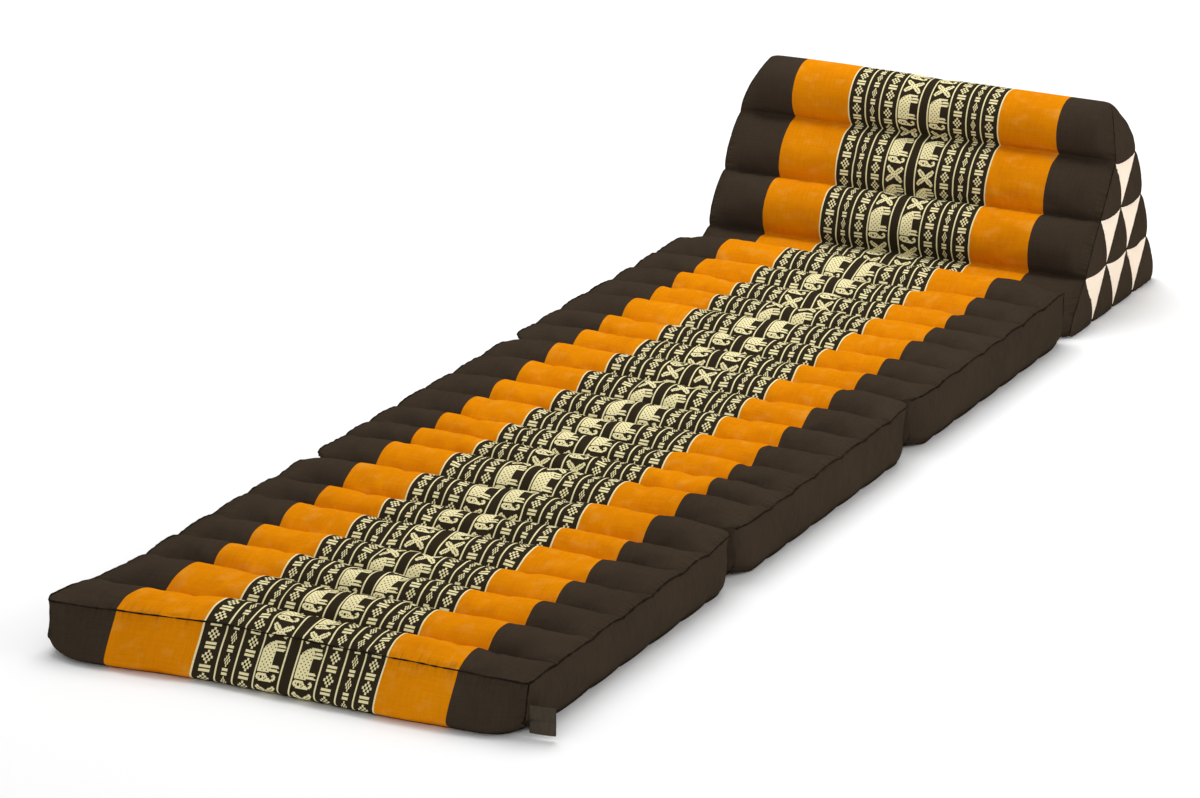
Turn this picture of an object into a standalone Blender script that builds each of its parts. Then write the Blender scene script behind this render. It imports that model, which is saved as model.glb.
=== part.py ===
"""A thai triangle cushion lying open: three filled mat panels with sewn cross channels, and a triangular wedge.

Metres, +Z up. X runs across the mat and Y along it, from the foot to the wedge. The shapes are worked out
with Y = 0 at the foot seam and X = 0 on the mat's centre line, and then moved together, so that the origin
is the bottom centre of the whole object's box.
"""

import math
from collections import namedtuple

import bmesh
import bpy
from mathutils import Vector

COLLECTION = "thai_triangle_cushion"

# The mat
WIDTH = 0.530
HALF_WIDTH = WIDTH / 2
PANEL_LENGTH = 0.4697
MAT_LENGTH = 3 * PANEL_LENGTH
SEAM_HEIGHT_FOOT = 0.058
SEAM_HEIGHT_HEAD = 0.068
TOUCH_GAP = 0.0003

# Cloth stripes, as half widths from the centre line
BAND_HALF = 0.104
ORANGE_HALF = 0.1842

# Sewn channels, from the foot to the wedge: share of the panel's length, and crown above the side seam
Channel = namedtuple("Channel", ("share", "crown"))
CHANNELS = {
    "mat_panel_foot": (
        Channel(0.121, 0.0085), Channel(0.161, 0.0105), Channel(0.140, 0.0095),
        Channel(0.142, 0.0080), Channel(0.157, 0.0070), Channel(0.127, 0.0070),
        Channel(0.152, 0.0120),
    ),
    "mat_panel_middle": (
        Channel(0.168, 0.0120), Channel(0.116, 0.0095), Channel(0.130, 0.0090),
        Channel(0.147, 0.0075), Channel(0.137, 0.0090), Channel(0.149, 0.0115),
        Channel(0.153, 0.0120),
    ),
    "mat_panel_head": (
        Channel(0.144, 0.0080), Channel(0.132, 0.0085), Channel(0.160, 0.0085),
        Channel(0.134, 0.0075), Channel(0.132, 0.0070), Channel(0.134, 0.0085),
        Channel(0.164, 0.0130),
    ),
}
CHANNEL_CUTS = (0.13, 0.31, 0.50, 0.69, 0.87)
VALLEY_DEPTH = 0.0055
FOLD_VALLEY_DEPTH = 0.0080
UNDER_VALLEY = 0.0035
SIDE_FADE = 0.050
SEAM_WOBBLE = 0.0015

# Panel walls
SIDE_BULGE = 0.004
END_BULGE = 0.012
SIDE_TUCK = 0.009
END_TUCK = 0.013
TUCK_LEVEL = 0.15
WALL_LEVELS = (TUCK_LEVEL, 0.45, 0.85)
COLUMN_OFFSETS = (BAND_HALF, ORANGE_HALF, 0.228, 0.247)
FOLD_CORNER = 0.020
END_CORNER = 0.012
CORNER_FADE = 0.060
CORNER_BULGE = 0.35
END_CORNER_BULGE = 0.25
EAR = {-1: 0.007, 1: 0.003}

# The wedge
WEDGE_FRONT = 1.436
WEDGE_BASE = 0.284
WEDGE_LEAN = 0.180
WEDGE_HEIGHT = 0.258
WEDGE_CROWN = 0.264
TIERS = 4
TIER_CUTS = 6
PRESSED_FRONT = MAT_LENGTH + END_BULGE + TOUCH_GAP

# How far each tier's tube swells past the lattice, from the top. The top tube is round instead.
Tube = namedtuple("Tube", ("front", "back"))
TUBES = (Tube(0.0, 0.0), Tube(0.0150, 0.0120), Tube(0.0200, 0.0140), Tube(0.0400, 0.0160))
WEDGE_NODE_LIFT = 0.0045
WEDGE_STATIONS = (BAND_HALF, ORANGE_HALF, 0.222, 0.244, 0.257)
END_PINCH = 0.006
END_EDGE = 0.009
END_PILLOW = 0.010
CREAM_PILLOW = 0.003
RIM_SHARE = 0.70
RIM_LENGTH = 0.043

# The strip between the mat and the wedge, and the bare label
STRIP_THICKNESS = 0.002
STRIP_START = 0.65
STRIP_HALF_WIDTH = 0.235
LABEL_LENGTH = 0.028
LABEL_HEIGHT = 0.030
LABEL_THICKNESS = 0.0012
LABEL_BOTTOM = 0.005
LABEL_CURL = 0.004

# Colours, and the cloth's roughness
BROWN = (0.048, 0.034, 0.026)
ORANGE = (0.79, 0.28, 0.012)
BAND = (0.105, 0.088, 0.052)
CREAM = (0.83, 0.70, 0.53)
LABEL_BLACK = (0.020, 0.019, 0.018)
CLOTH_ROUGHNESS = 0.9


def smooth(value):
    """Rises from 0 to 1 without a corner at either end."""
    share = min(max(value, 0.0), 1.0)
    return share * share * (3 - 2 * share)


def dome(share):
    """The section of a filled tube between two stitch lines: 0 at both lines and 1 in the middle."""
    return (1 - abs(2 * share - 1) ** 2.3) ** 0.8


def cloth(name, colour):
    material = bpy.data.materials.new(name)
    material.use_nodes = True
    material.diffuse_color = (*colour, 1)
    shader = material.node_tree.nodes["Principled BSDF"]
    shader.inputs["Base Color"].default_value = (*colour, 1)
    shader.inputs["Roughness"].default_value = CLOTH_ROUGHNESS
    shader.inputs["Metallic"].default_value = 0
    return material


def cut_across(bm, axis, places):
    """Cuts the whole mesh by a plane at each place along the axis."""
    normal = Vector([float(axis == i) for i in range(3)])
    for place in places:
        geometry = bm.verts[:] + bm.edges[:] + bm.faces[:]
        bmesh.ops.bisect_plane(bm, geom=geometry, dist=1e-6, plane_co=normal * place, plane_no=normal)


def both_sides(offsets):
    return sorted({0.0, *offsets, *(-offset for offset in offsets)})


def finish(name, bm, materials, pick):
    """Makes the object, with its faces smooth and the material that pick names for each face's centre."""
    bmesh.ops.recalc_face_normals(bm, faces=bm.faces[:])
    for face in bm.faces:
        face.smooth = True
        face.material_index = pick(face)
    mesh = bpy.data.meshes.new(name)
    bm.to_mesh(mesh)
    bm.free()
    for material in materials:
        mesh.materials.append(material)
    thing = bpy.data.objects.new(name, mesh)
    bpy.data.collections[COLLECTION].objects.link(thing)
    return thing


def stripe(x):
    """Which cloth lies at this place across: 0 brown, 1 orange, 2 the woven band."""
    return (abs(x) < ORANGE_HALF) + (abs(x) < BAND_HALF)


class Panel:
    """One boxed panel of the mat, from its start to its end along Y."""

    def __init__(self, name, index):
        self.name = name
        self.start = index * PANEL_LENGTH
        self.end = self.start + PANEL_LENGTH
        self.first = index == 0
        self.last = index == len(CHANNELS) - 1
        lines = [self.start]
        for channel in CHANNELS[name]:
            lines.append(lines[-1] + channel.share * PANEL_LENGTH)
        lines[-1] = self.end
        self.lines = lines

    def rows(self):
        """The places along Y where the panel is cut: each stitch line, and the cuts of each channel."""
        places = self.lines[1:-1]
        for low, high in zip(self.lines, self.lines[1:]):
            places += [low + cut * (high - low) for cut in CHANNEL_CUTS]
        return sorted(places)

    def channel(self, y):
        """The channel at this place along: its number, and the share of it that lies behind."""
        number = sum(y > line + 1e-6 for line in self.lines[1:-1])
        low, high = self.lines[number], self.lines[number + 1]
        return number, min(max((y - low) / (high - low), 0.0), 1.0)

    def valley(self, line):
        """How far the cloth sinks below the side seam at this stitch line."""
        if line == 0:
            return 0.0 if self.first else FOLD_VALLEY_DEPTH
        if line == len(self.lines) - 1:
            return 0.0 if self.last else FOLD_VALLEY_DEPTH
        return VALLEY_DEPTH

    def top(self, x, y):
        number, share = self.channel(y)
        crown = CHANNELS[self.name][number].crown
        rise = dome(share)
        sunk = self.valley(number) * (1 - share) + self.valley(number + 1) * share
        seam = SEAM_HEIGHT_FOOT + (SEAM_HEIGHT_HEAD - SEAM_HEIGHT_FOOT) * y / MAT_LENGTH
        seam -= SEAM_WOBBLE * (1 - rise)
        fade = smooth((HALF_WIDTH - abs(x)) / SIDE_FADE)
        return seam + fade * ((crown + sunk) * rise - sunk)

    def under(self, x, y):
        """The underside is flat on the floor but for its stitch lines."""
        number, share = self.channel(y)
        line = number if share < 0.5 else number + 1
        on_line = min(share, 1 - share) < 1e-3 and 0 < line < len(self.lines) - 1
        inside = HALF_WIDTH - abs(x) > SIDE_TUCK * 2
        return UNDER_VALLEY if on_line and inside else 0.0

    def place(self, x, y, level):
        """Moves a point of the plain box, whose level runs from 0 at the floor to 1 at the top, to the cushion."""
        side = HALF_WIDTH - abs(x)
        low, high = y - self.start, self.end - y
        z = self.under(x, y) * (1 - level) + self.top(x, y) * level
        belly = math.sin(math.pi * level)
        under = max(1 - level / TUCK_LEVEL, 0.0) ** 2
        near_end = min(low, high)
        hand = 1 if x > 0 else -1
        if side < 1e-6:
            fade = CORNER_BULGE + (1 - CORNER_BULGE) * smooth(near_end / CORNER_FADE)
            x += hand * (SIDE_BULGE * belly * fade - SIDE_TUCK * under)
        for distance, free, way in ((low, self.first, -1), (high, self.last, 1)):
            if distance > 1e-6:
                continue
            fade = END_CORNER_BULGE + (1 - END_CORNER_BULGE) * smooth(side / CORNER_FADE)
            bulge = END_BULGE * belly * fade if free else -TOUCH_GAP / 2
            y += way * (bulge - (END_TUCK if free else SIDE_TUCK) * under)
        at_free = self.first if low < high else self.last
        radius = END_CORNER * (1 - level**4) if at_free else FOLD_CORNER
        if radius > 0 and side < radius and near_end < radius:
            across, along = 1 - side / radius, 1 - near_end / radius
            x -= hand * radius * across * (1 - math.sqrt(1 - along * along / 2))
            way = -1 if low < high else 1
            y -= way * radius * along * (1 - math.sqrt(1 - across * across / 2))
        if self.first and level == 1 and side < 1e-6 and low < 1e-6:
            x += hand * EAR[hand]
            y -= EAR[hand] / 2
        return Vector((x, y, z))

    def build(self, materials):
        bm = bmesh.new()
        bmesh.ops.create_cube(bm, size=1.0)
        bmesh.ops.scale(bm, vec=(WIDTH, PANEL_LENGTH, 1.0), verts=bm.verts)
        bmesh.ops.translate(bm, vec=(0, (self.start + self.end) / 2, 0.5), verts=bm.verts)
        cut_across(bm, 0, both_sides(COLUMN_OFFSETS))
        cut_across(bm, 1, self.rows())
        cut_across(bm, 2, WALL_LEVELS)
        for vert in bm.verts:
            vert.co = self.place(*vert.co)
        foot_face = END_TUCK * 1.5 if self.first else 0.0

        def pick(face):
            centre = face.calc_center_median()
            covered = face.normal.z > 0.4 or centre.y < foot_face and face.normal.z > -0.9
            return stripe(centre.x) if covered else 0

        return finish(self.name, bm, materials, pick)


class Wedge:
    """The triangular bolster: a prism whose three faces swell between the stitch lines of its tubes."""

    def __init__(self):
        self.front = Vector((0, WEDGE_FRONT, 0))
        self.back = Vector((0, WEDGE_FRONT + WEDGE_BASE, 0))
        self.apex = Vector((0, WEDGE_FRONT + WEDGE_LEAN, WEDGE_HEIGHT))
        low = self.lattice(TIERS - 1, 1, 0)
        high = self.lattice(TIERS - 1, 0, 1)
        half = (high - low).length / 2
        rise = WEDGE_CROWN - low.z
        self.crown_radius = (half * half + rise * rise) / (2 * rise)
        self.crown_centre = Vector((0, (low.y + high.y) / 2, WEDGE_CROWN - self.crown_radius))
        self.crown_turn = math.acos((low.z - self.crown_centre.z) / self.crown_radius)

    def lattice(self, up, front, back):
        """A point of the end's triangle, from its shares of the apex, front and back, which add to the tiers."""
        return (self.apex * up + self.front * front + self.back * back) / TIERS

    def shares(self, point):
        up = TIERS * point.z / WEDGE_HEIGHT
        across = point.y - WEDGE_FRONT - WEDGE_LEAN * up / TIERS
        back = TIERS * across / WEDGE_BASE
        return up, TIERS - up - back, back

    def crown(self, front, back):
        """A point of the top tube's round back, from its shares of the first tier."""
        turn = self.crown_turn * (back - front)
        return self.crown_centre + self.crown_radius * Vector((0, math.sin(turn), math.cos(turn)))

    def outline(self, up, front, back):
        """Where a point of the triangle's edge lies on the swollen outline."""
        point = self.lattice(up, front, back)
        if up > TIERS - 1 - 1e-6 and min(front, back) < 1e-6:
            return self.crown(front, back)
        tier = min(int(TIERS - up - 1e-6), TIERS - 1)
        rise = dome(up % 1.0)
        if front < 1e-6:
            slope = (self.apex - self.back).normalized()
            return point + TUBES[tier].back * rise * Vector((0, slope.z, -slope.y))
        if back < 1e-6:
            slope = (self.apex - self.front).normalized()
            forward = Vector((0, -slope.z, slope.y))
            if tier == TIERS - 1:
                forward = Vector((0, -1, 0))
            return point + TUBES[tier].front * rise * forward
        return point

    def base_lift(self, front, back):
        """The seams of the base are drawn up off the floor."""
        on_line = abs(back - round(back)) < 1e-6
        return WEDGE_NODE_LIFT if on_line or min(front, back) < 1e-6 else 0.0

    def pillow(self, up, front, back):
        """How far the end stands out: pinched where seams cross, and swollen in each patch."""
        parts = [share % 1.0 for share in (up, front, back)]
        parts = [0.0 if part > 1 - 1e-6 else part for part in parts]
        if sum(parts) > 1.5:
            parts = [1 - part for part in parts]
            pillow = CREAM_PILLOW
        else:
            pillow = END_PILLOW
        a, b, c = parts
        edge = min(4 * (a * b + b * c + c * a), 1.0)
        return END_EDGE * edge + pillow * (27 * a * b * c) ** 0.8 - END_PINCH

    def place(self, x, point):
        shares = [0.0 if abs(share) < 1e-6 else share for share in self.shares(point)]
        up, front, back = shares
        flat = self.lattice(up, front, back)
        nearest = min(shares)
        at_end = HALF_WIDTH - abs(x) < 1e-6
        reach = RIM_SHARE + (1 - RIM_SHARE) * smooth((HALF_WIDTH - abs(x)) / RIM_LENGTH)
        swollen = flat
        if nearest < 1.0:
            inward = nearest
            at = shares.index(nearest)
            edge = [share * TIERS / (TIERS - inward) for share in shares]
            edge[at] = 0.0
            shift = self.outline(*edge) - self.lattice(*edge)
            swollen = flat + shift * reach * (1 - inward) ** 2
        if at_end:
            x += (1 if x > 0 else -1) * self.pillow(up, front, back)
        if up < 1e-6:
            swollen.z = self.base_lift(front, back)
        return Vector((x, max(swollen.y, PRESSED_FRONT), max(swollen.z, 0.0)))

    def build(self, materials):
        bm = bmesh.new()
        corners = [bm.verts.new(corner - Vector((HALF_WIDTH, 0, 0))) for corner in (self.front, self.back, self.apex)]
        bm.faces.new(corners)
        cuts = TIERS * TIER_CUTS - 1
        bmesh.ops.subdivide_edges(bm, edges=bm.edges[:], cuts=cuts, use_grid_fill=True)
        swept = bmesh.ops.extrude_face_region(bm, geom=bm.faces[:], use_keep_orig=True)["geom"]
        moved = [item for item in swept if isinstance(item, bmesh.types.BMVert)]
        bmesh.ops.translate(bm, vec=(WIDTH, 0, 0), verts=moved)
        cut_across(bm, 0, both_sides(WEDGE_STATIONS))
        cream = [self.is_cream(face) for face in bm.faces]
        front = [self.is_front(face) for face in bm.faces]
        for vert in bm.verts:
            vert.co = self.place(vert.co.x, vert.co)
        bm.faces.index_update()

        def pick(face):
            if cream[face.index]:
                return 3
            return stripe(face.calc_center_median().x) if front[face.index] else 0

        return finish("wedge_cushion", bm, materials, pick)

    def is_cream(self, face):
        """The patches that point down are cream."""
        centre = face.calc_center_median()
        if HALF_WIDTH - abs(centre.x) > 1e-6:
            return False
        return sum(share % 1.0 for share in self.shares(centre)) > 1.5

    def is_front(self, face):
        centre = face.calc_center_median()
        return self.shares(centre)[2] < 1e-3 and HALF_WIDTH - abs(centre.x) > 1e-6


def hinge_strip(material):
    """The strip lies on the floor, under the rounded bottom edges of the last panel and the wedge."""
    start = MAT_LENGTH - END_TUCK * STRIP_START
    end = WEDGE_FRONT - TOUCH_GAP
    bm = bmesh.new()
    bmesh.ops.create_cube(bm, size=1.0)
    bmesh.ops.scale(bm, vec=(2 * STRIP_HALF_WIDTH, end - start, STRIP_THICKNESS), verts=bm.verts)
    bmesh.ops.translate(bm, vec=(0, (start + end) / 2, STRIP_THICKNESS / 2), verts=bm.verts)
    return finish("hinge_strip", bm, [material], lambda face: 0)


def side_label(material):
    """A small bare label that stands out from the corner seam at the foot, with a slight curl."""
    corner = END_CORNER * (1 - math.sqrt(0.5))
    root = HALF_WIDTH + SIDE_BULGE * CORNER_BULGE - corner + 2 * TOUCH_GAP
    bm = bmesh.new()
    bmesh.ops.create_cube(bm, size=1.0)
    bmesh.ops.scale(bm, vec=(LABEL_LENGTH, LABEL_THICKNESS, LABEL_HEIGHT), verts=bm.verts)
    centre = (root + LABEL_LENGTH / 2, 0, LABEL_BOTTOM + LABEL_HEIGHT / 2)
    bmesh.ops.translate(bm, vec=centre, verts=bm.verts)
    cut_across(bm, 0, [root + LABEL_LENGTH * share for share in (0.25, 0.5, 0.75)])
    for vert in bm.verts:
        share = (vert.co.x - root) / LABEL_LENGTH
        vert.co.y += LABEL_CURL * share * share
    return finish("side_label", bm, [material], lambda face: 0)


def centre_on_origin(things):
    """Moves every piece so that the origin is the bottom centre of the whole."""
    points = [vert.co for thing in things for vert in thing.data.vertices]
    low = Vector([min(point[i] for point in points) for i in range(3)])
    high = Vector([max(point[i] for point in points) for i in range(3)])
    shift = Vector((-(low.x + high.x) / 2, -(low.y + high.y) / 2, -low.z))
    for thing in things:
        for vert in thing.data.vertices:
            vert.co += shift


def main():
    for thing in list(bpy.data.objects):
        bpy.data.objects.remove(thing, do_unlink=True)
    bpy.context.scene.collection.children.link(bpy.data.collections.new(COLLECTION))
    brown = cloth("brown_cotton", BROWN)
    orange = cloth("orange_cotton", ORANGE)
    band = cloth("woven_band", BAND)
    cream = cloth("cream_cotton", CREAM)
    covers = [brown, orange, band]
    things = [Panel(name, index).build(covers) for index, name in enumerate(CHANNELS)]
    things.append(Wedge().build([*covers, cream]))
    things.append(hinge_strip(brown))
    things.append(side_label(cloth("label_cloth", LABEL_BLACK)))
    centre_on_origin(things)


main()
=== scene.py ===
"""The looks of a thai triangle cushion that lies open: mat panels, a tiered wedge, seams and a bare label.

Metres, +Z up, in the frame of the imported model. The shapes are worked out in the maker's own place, with
Y = 0 at the foot seam and X = 0 on the mat's centre line, and Place moves them into the frame.
"""

from __future__ import annotations

import logging
import math
from collections.abc import Callable, Iterable, Sequence
from dataclasses import dataclass, field
from enum import Enum
from itertools import accumulate

import bmesh
import bpy
import numpy as np
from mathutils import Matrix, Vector, noise

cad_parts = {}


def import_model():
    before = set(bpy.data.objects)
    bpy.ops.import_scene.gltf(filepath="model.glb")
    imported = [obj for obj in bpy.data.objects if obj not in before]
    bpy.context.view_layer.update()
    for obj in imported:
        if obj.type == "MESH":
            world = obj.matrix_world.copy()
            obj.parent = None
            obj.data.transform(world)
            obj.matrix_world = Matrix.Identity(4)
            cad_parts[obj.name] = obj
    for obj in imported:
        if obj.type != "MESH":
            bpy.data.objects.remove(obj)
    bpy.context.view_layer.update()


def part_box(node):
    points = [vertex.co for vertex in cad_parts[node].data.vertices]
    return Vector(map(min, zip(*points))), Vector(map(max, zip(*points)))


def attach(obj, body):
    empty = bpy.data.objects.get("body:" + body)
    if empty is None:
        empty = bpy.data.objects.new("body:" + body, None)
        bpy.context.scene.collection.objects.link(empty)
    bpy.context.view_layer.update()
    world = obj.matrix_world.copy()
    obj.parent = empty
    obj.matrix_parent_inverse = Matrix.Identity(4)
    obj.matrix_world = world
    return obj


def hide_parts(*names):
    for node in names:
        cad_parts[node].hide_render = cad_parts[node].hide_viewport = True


LOG = logging.getLogger("thai_triangle_cushion")

WIDTH = 0.530
HALF_WIDTH = WIDTH / 2
PANEL_LENGTH = 0.4697
MAT_LENGTH = 3 * PANEL_LENGTH
TOUCH_GAP = 0.0003
ORANGE_HALF = 0.1842
BAND_HALF = 0.1039
SEAM_HEIGHT_FOOT = 0.058
SEAM_HEIGHT_HEAD = 0.068

# Two places closer than this are one. Just inside a stitch line lies EDGE of the way across.
NEAR = 1e-6
EDGE = 1e-4
CLOTH_STEPS = 24
EVEN_SHARES = [min(max(step / CLOTH_STEPS, EDGE), 1 - EDGE) for step in range(CLOTH_STEPS + 1)]

Socket = bpy.types.NodeSocket
Colour = Socket | Sequence[float]


class Region(Enum):
    """The faces of a boxed panel or of the wedge, by what cloth covers them."""

    STRIPED = 0
    BROWN = 1
    CREAM = 2


def smooth(value: float) -> float:
    """Rises from 0 to 1 without a corner at either end."""
    share = min(max(value, 0.0), 1.0)
    return share * share * (3 - 2 * share)


def dome(share: float, fullness: float = 0.72) -> float:
    """The section of a filled tube between two stitch lines: 0 at both lines and 1 in the middle."""
    return (1 - abs(2 * min(max(share, 0.0), 1.0) - 1) ** 2.2) ** fullness


def unevenness(x: float, y: float, scale: float, seed: float) -> float:
    """A smooth value about 0, between -1 and 1, that wanders over the cloth.

    Args:
        x: the first place, in metres.
        y: the second place, in metres.
        scale: the length over which it wanders, in metres.
        seed: a number that sets one wandering apart from another.

    Returns:
        The value.
    """
    return noise.noise(Vector((x / scale + seed * 7.31, y / scale - seed * 3.17, seed)))


def running_lengths(points: Sequence[Vector]) -> list[float]:
    """The length of a path up to each of its points."""
    return [0.0, *accumulate((b - a).length for a, b in zip(points, points[1:]))]


def reading(table: Sequence[float], share: float) -> float:
    """The value at a share of the way along an even table."""
    at = share * (len(table) - 1)
    index = min(int(at), len(table) - 2)
    return table[index] + (at - index) * (table[index + 1] - table[index])


class NodeSheet:
    """A material's node tree, with short calls for the nodes that the cloths use."""

    def __init__(self, name: str) -> None:
        """Makes the material and keeps its tree and shader."""
        self.material = bpy.data.materials.new(name)
        self.material.use_nodes = True
        self.tree = self.material.node_tree
        self.shader = self.tree.nodes["Principled BSDF"]

    def feed(self, socket: Socket, value: Socket | float | Sequence[float]) -> None:
        """Links a socket to another, or sets its value.

        Args:
            socket: the input.
            value: a socket to link from, or a number or numbers to set.
        """
        if isinstance(value, bpy.types.NodeSocket):
            self.tree.links.new(value, socket)
        else:
            socket.default_value = value

    def node(self, kind: str, **inputs: Socket | float | Sequence[float]) -> bpy.types.Node:
        """Adds a shader node.

        Args:
            kind: its type, without ShaderNode.
            **inputs: what each input is fed, with _ for a space in its name.

        Returns:
            The node.
        """
        made = self.tree.nodes.new(f"ShaderNode{kind}")
        for name, value in inputs.items():
            self.feed(made.inputs[name.replace("_", " ")], value)
        return made

    def math(self, operation: str, *values: Socket | float) -> Socket:
        """Adds a Math node.

        Args:
            operation: the operation, as Blender names it.
            *values: its inputs.

        Returns:
            The result.
        """
        node = self.node("Math")
        node.operation = operation
        for socket, value in zip(node.inputs, values):
            self.feed(socket, value)
        return node.outputs[0]

    def near(self, value: Socket, centre: float, half: float) -> Socket:
        """1 where the value lies within half of the centre, and otherwise 0."""
        return self.math("COMPARE", value, centre, half)

    def clamped(self, value: Socket) -> Socket:
        """The value, kept between 0 and 1."""
        return self.math("MINIMUM", self.math("MAXIMUM", value, 0.0), 1.0)

    def total(self, values: Sequence[Socket]) -> Socket:
        """The sum of the values."""
        *rest, last = values
        return self.math("ADD", self.total(rest), last) if rest else last

    def blend(self, first: Socket, second: Socket, share: float = 0.5) -> Socket:
        """Two values in one, of which the first has this share."""
        return self.total([self.math("MULTIPLY", first, share), self.math("MULTIPLY", second, 1 - share)])

    def mix(self, factor: Socket, first: Colour, second: Colour) -> Socket:
        """Mixes two colours.

        Args:
            factor: 0 for the first colour and 1 for the second.
            first: a colour, or the socket of one.
            second: a colour, or the socket of one.

        Returns:
            The mixed colour.
        """
        node = self.node("Mix")
        node.data_type = "RGBA"
        for socket, value in zip(MIX_SOCKETS, (factor, opaque(first), opaque(second))):
            self.feed(node.inputs[socket], value)
        return node.outputs[MIX_RESULT]

    def cloth_place(self) -> Socket:
        """The place on the cloth, in metres, from the piece's own map."""
        node = self.node("UVMap")
        node.uv_map = WEAVE_MAP
        return node.outputs[0]

    def object_place(self) -> Socket:
        """The place in the object's own frame, in metres."""
        return self.node("TexCoord").outputs["Object"]

    def stretched(self, place: Socket, scale: Sequence[float]) -> Socket:
        """Scales a place along each axis, for a texture that runs along the threads."""
        return self.node("Mapping", Vector=place, Scale=scale).outputs[0]

    def noise(self, place: Socket, scale: float, detail: float = 3.0) -> Socket:
        """Noise between 0 and 1 over a place."""
        return self.node("TexNoise", Vector=place, Scale=scale, Detail=detail).outputs["Fac"]

    def axes(self, place: Socket) -> tuple[Socket, Socket]:
        """The first two numbers of a place."""
        parts = self.node("SeparateXYZ", Vector=place).outputs
        return parts[0], parts[1]

    def bump(self, height: Socket, distance: float, strength: float, below: Socket | None = None) -> Socket:
        """Adds a Bump node.

        Args:
            height: the height, from 0 to 1.
            distance: what a height of 1 is, in metres.
            strength: how strongly it shows.
            below: the normal of a coarser bump, if any.

        Returns:
            The normal.
        """
        coarser = {} if below is None else {"Normal": below}
        return self.node("Bump", Distance=distance, Strength=strength, Height=height, **coarser).outputs[0]

    def finish(
        self, colour: Colour, normal: Socket | None = None, roughness: float = 0.9
    ) -> bpy.types.Material:
        """Feeds the shader and gives the material.

        Args:
            colour: the cloth's colour.
            normal: the normal, if the cloth has a bump.
            roughness: the shader's roughness.

        Returns:
            The material.
        """
        self.feed(self.shader.inputs["Base Color"], opaque(colour))
        self.shader.inputs["Roughness"].default_value = roughness
        self.shader.inputs["Specular IOR Level"].default_value = CLOTH_SPECULAR
        if normal is not None:
            self.feed(self.shader.inputs["Normal"], normal)
        return self.material


def opaque(colour: Colour) -> Colour:
    """The colour with an alpha of 1, or the socket as it is."""
    return colour if isinstance(colour, bpy.types.NodeSocket) else (*colour[:3], 1.0)


WEAVE_MAP = "weave"
SEAM_CREASE = 0.8
PUCKER_REACH = 0.020
FOOT_SEAM_CLOTH = 0.003
# How much shade is painted into the folds of the gathers along the side seams and the foot seam.
PUCKER_SHADE = 0.40
FOOT_PUCKER_SHADE = 0.22
BROWN_DYE = (0.0430, 0.0306, 0.0206)
CLOTH_SPECULAR = 0.0

# The inputs of a Mix node that hold the factor and the two colours, and the output that holds the colour
MIX_SOCKETS = (0, 6, 7)
MIX_RESULT = 2

# A chart's row is kept as GROUPS numbers of GROUP threads each
GROUP = 8
GROUPS = 3

# The figured band, given as charts. Rows run down the cloth, from the wedge to the foot; # is a cream thread.
ELEPHANT = (
    "........##########..",
    "......############..",
    "....#######.........",
    "...#.###.###.######.",
    "..##################",
    ".#.###.###.#........",
    ".###################",
    "####.###.##########.",
    "############........",
    "##.###.###.#........",
    "############........",
    "####.###.###........",
    "############........",
    "##.###.###.#........",
    "############........",
    "####.###.###........",
    "############........",
    "##.###.###.#........",
    "############........",
    "####.###.#########..",
    "###################.",
    "##.###.###.#........",
    "##################..",
    "####.###.###########",
    "###########.........",
    "....................",
    ".########......##...",
    "##########....####..",
    "##.#..#.###.....##..",
    "####..###.###..###..",
    ".#######.########...",
    "...############.....",
)
FLOWER_HALF = (
    "..##............##..",
    ".####..........####.",
    ".##.###......###.##.",
    "..##.###....###.##..",
    "..###.###..###.###..",
    "...###.######.###...",
    "....####.##.####....",
    "......########......",
)
FLOWER = FLOWER_HALF + FLOWER_HALF[::-1]
DIAMOND = (
    "..#..",
    "..#..",
    ".#.#.",
    ".#.#.",
    "#.#.#",
    "#.#.#",
    ".#.#.",
    ".#.#.",
    "..#..",
    "..#..",
    ".....",
    "#####",
    "#####",
    ".....",
    "#####",
    "#####",
    ".....",
)


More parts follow.
